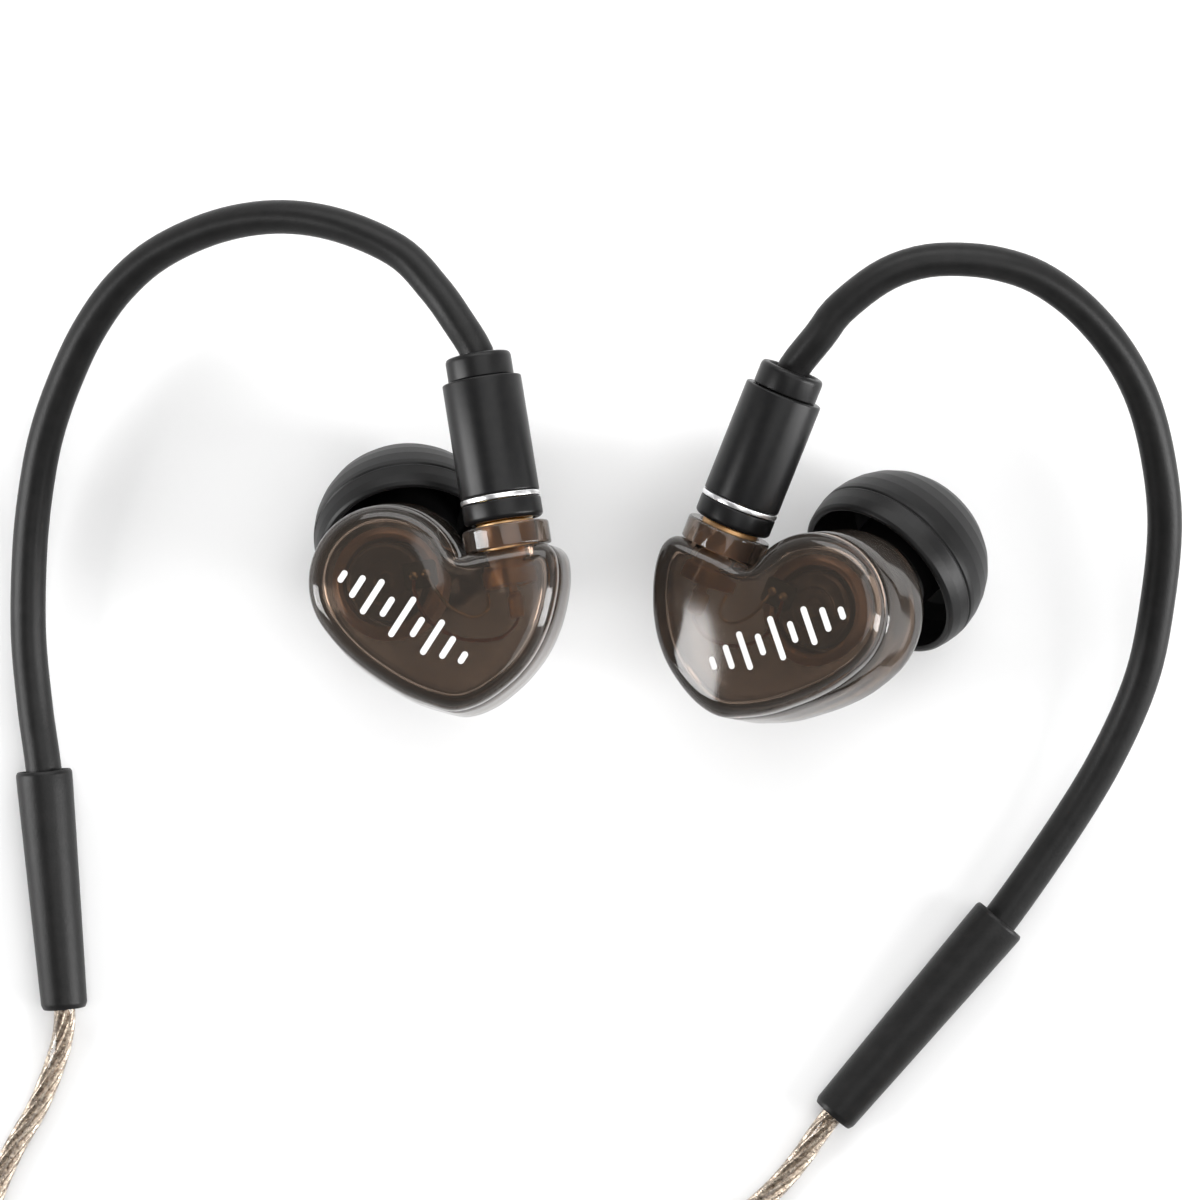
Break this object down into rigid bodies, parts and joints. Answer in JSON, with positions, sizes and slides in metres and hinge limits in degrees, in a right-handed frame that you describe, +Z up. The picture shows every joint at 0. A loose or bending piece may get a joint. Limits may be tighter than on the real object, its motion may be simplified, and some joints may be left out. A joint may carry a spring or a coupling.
{
  "type": "in ear monitors",
  "caption": "Pair of in-ear monitors with translucent smoked shells, soft ear tips, swivelling snap-in plugs, formed ear hooks and a coiled cable ending in a stereo jack.",
  "frame": {"origin": "on the table, under the middle of the box of the earpieces, plugs and ear hooks", "axes": "+Z up from the table, +Y from the earpieces towards the tops of the ear hooks, +X towards the left ear's monitor"},
  "size_m": [0.0915, 0.1175, 0.0204],
  "materials": {
    "smoked_shell": "polished, see-through smoked brown",
    "black_anodised": "satin black anodised",
    "silver_trim": "bright",
    "gold_contact": "gold plated",
    "insulator": "natural",
    "black_insulator": "black",
    "driver_can": "smoky metal",
    "driver_magnet": "blackened",
    "driver_film": "amber film",
    "circuit_board": "solder mask",
    "steel_mesh": "fine mesh",
    "silicone": "black silicone, satin",
    "black_tube": "black, satin",
    "clear_cable": "clear jacket over twisted silver-plated strands",
    "strap": "black hook-and-loop strap"
  },
  "bodies": {
    "cable_set": {"right_ear_plug_barrel": "black_anodised", "right_ear_plug_collar": "black_anodised", "right_ear_plug_base": "black_anodised", "right_ear_plug_trim_ring": "silver_trim", "right_ear_plug_contact": "gold_contact", "right_ear_plug_pin": "insulator", "right_ear_hook": "black_tube", "right_ear_hook_sleeve": "black_tube", "right_ear_cable": "clear_cable", "right_ear_cable_tail": "clear_cable", "left_ear_plug_barrel": "black_anodised", "left_ear_plug_collar": "black_anodised", "left_ear_plug_base": "black_anodised", "left_ear_plug_trim_ring": "silver_trim", "left_ear_plug_contact": "gold_contact", "left_ear_plug_pin": "insulator", "left_ear_hook": "black_tube", "left_ear_hook_sleeve": "black_tube", "left_ear_cable": "clear_cable", "left_ear_cable_tail": "clear_cable", "branch_coil": "clear_cable", "main_coil": "clear_cable", "branch_coil_tie": "strap", "main_coil_tie": "strap", "cable_splitter": "black_tube", "main_cable_lead": "clear_cable", "jack_cable": "clear_cable", "jack_barrel": "black_anodised", "jack_strain_relief": "black_tube", "jack_insulator": "black_insulator", "jack_sleeve_contact": "gold_contact", "jack_ring_contact": "gold_contact", "jack_tip_contact": "gold_contact"},
    "chin_slider": {"chin_slider": "black_tube"},
    "right_ear_lock_ring": {"right_ear_lock_ring": "silver_trim"},
    "right_ear_monitor": {"right_ear_faceplate_shell": "smoked_shell", "right_ear_rear_shell": "smoked_shell", "right_ear_socket_collar": "smoked_shell", "right_ear_socket_barrel": "gold_contact", "right_ear_socket_insulator": "insulator", "right_ear_socket_contact": "gold_contact", "right_ear_driver_basket": "driver_can", "right_ear_driver_magnet": "driver_magnet", "right_ear_driver_diaphragm": "driver_film", "right_ear_terminal_board": "circuit_board", "right_ear_nozzle_mesh": "steel_mesh"},
    "right_ear_tip": {"right_ear_ear_tip": "silicone"},
    "left_ear_lock_ring": {"left_ear_lock_ring": "silver_trim"},
    "left_ear_monitor": {"left_ear_faceplate_shell": "smoked_shell", "left_ear_rear_shell": "smoked_shell", "left_ear_socket_collar": "smoked_shell", "left_ear_socket_barrel": "gold_contact", "left_ear_socket_insulator": "insulator", "left_ear_socket_contact": "gold_contact", "left_ear_driver_basket": "driver_can", "left_ear_driver_magnet": "driver_magnet", "left_ear_driver_diaphragm": "driver_film", "left_ear_terminal_board": "circuit_board", "left_ear_nozzle_mesh": "steel_mesh"},
    "left_ear_tip": {"left_ear_ear_tip": "silicone"}
  },
  "joints": [
    {"name": "right_ear_swivel", "type": "hinge", "parent": "cable_set", "child": "right_ear_lock_ring", "pos_m": [-0.0058, 0.0098, 0.017], "axis": [-0.1595, 0.9847, -0.0698], "range_deg": [-50, 170]},
    {"name": "right_ear_unplug", "type": "slide", "parent": "right_ear_lock_ring", "child": "right_ear_monitor", "axis": [0.1595, -0.9847, 0.0698], "range_m": [0, 0.008]},
    {"name": "right_ear_tip_pull_off", "type": "slide", "parent": "right_ear_monitor", "child": "right_ear_tip", "axis": [-0.0864, 0.6414, -0.7623], "range_m": [0, 0.008]},
    {"name": "left_ear_swivel", "type": "hinge", "parent": "cable_set", "child": "left_ear_lock_ring", "pos_m": [0.00925, 0.0097, 0.0117], "axis": [0.3645, 0.9207, 0.1392], "range_deg": [-90, 130]},
    {"name": "left_ear_unplug", "type": "slide", "parent": "left_ear_lock_ring", "child": "left_ear_monitor", "axis": [-0.3645, -0.9207, -0.1392], "range_m": [0, 0.008]},
    {"name": "left_ear_tip_pull_off", "type": "slide", "parent": "left_ear_monitor", "child": "left_ear_tip", "axis": [0.6279, 0.5873, -0.5107], "range_m": [0, 0.008]},
    {"name": "chin_slider_slide", "type": "slide", "parent": "cable_set", "child": "chin_slider", "axis": [-1, 0, 0], "range_m": [0, 0.0115]}
  ]
}
